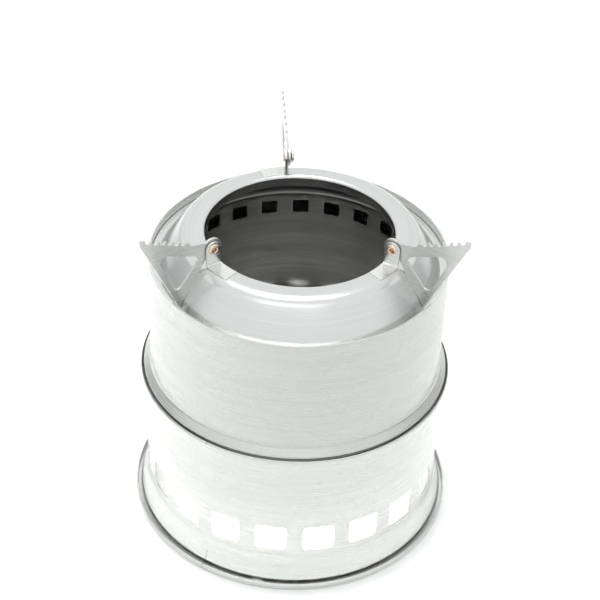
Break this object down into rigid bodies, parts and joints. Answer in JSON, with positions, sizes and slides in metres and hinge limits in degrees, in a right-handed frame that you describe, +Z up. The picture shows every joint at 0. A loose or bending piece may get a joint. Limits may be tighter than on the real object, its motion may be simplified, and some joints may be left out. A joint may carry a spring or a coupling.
{
  "type": "camping wood stove",
  "caption": "Double-walled sheet-steel wood stove in stacking parts: windowed base, fire pot and a conical top with pot arms that fold in over the mouth.",
  "frame": {"origin": "centre of the flat underside of the base, on the ground", "axes": "+Z up along the stove's own axis, -Y towards the front, +X to the right seen from the front"},
  "size_m": [0.1378, 0.1423, 0.158],
  "materials": {
    "shell_steel": "satin",
    "chamber_steel": "satin",
    "arm_steel": "satin",
    "rivet_metal": "satin"
  },
  "bodies": {
    "base": {"base_pan": "shell_steel", "base_shell": "shell_steel"},
    "burner": {"upper_shell": "shell_steel", "fire_chamber": "chamber_steel", "air_ring": "chamber_steel", "fire_grate": "chamber_steel"},
    "top": {"top_cone": "shell_steel", "bracket_left": "arm_steel", "rivet_left": "rivet_metal", "washer_left": "arm_steel", "bracket_right": "arm_steel", "rivet_right": "rivet_metal", "washer_right": "arm_steel", "bracket_rear": "arm_steel", "rivet_rear": "rivet_metal", "washer_rear": "arm_steel"},
    "arm_left": {"pot_arm_left": "arm_steel"},
    "arm_right": {"pot_arm_right": "arm_steel"},
    "arm_rear": {"pot_arm_rear": "arm_steel"}
  },
  "joints": [
    {"name": "burner_lift", "type": "slide", "parent": "base", "child": "burner", "axis": [0, 0, 1], "range_m": [0, 0.04]},
    {"name": "top_lift", "type": "slide", "parent": "burner", "child": "top", "axis": [0, 0, 1], "range_m": [0, 0.03]},
    {"name": "arm_left_fold", "type": "hinge", "parent": "top", "child": "arm_left", "pos_m": [-0.03397, -0.02504, 0.1432], "axis": [-0.5934, 0.8049, 0], "range_deg": [0, 205]},
    {"name": "arm_right_fold", "type": "hinge", "parent": "top", "child": "arm_right", "pos_m": [0.03687, -0.02052, 0.1432], "axis": [-0.4863, -0.8738, 0], "range_deg": [0, 205]},
    {"name": "arm_rear_fold", "type": "hinge", "parent": "top", "child": "arm_rear", "pos_m": [-0.00551, 0.04184, 0.1432], "axis": [0.9914, 0.1305, 0], "range_deg": [0, 205]}
  ]
}
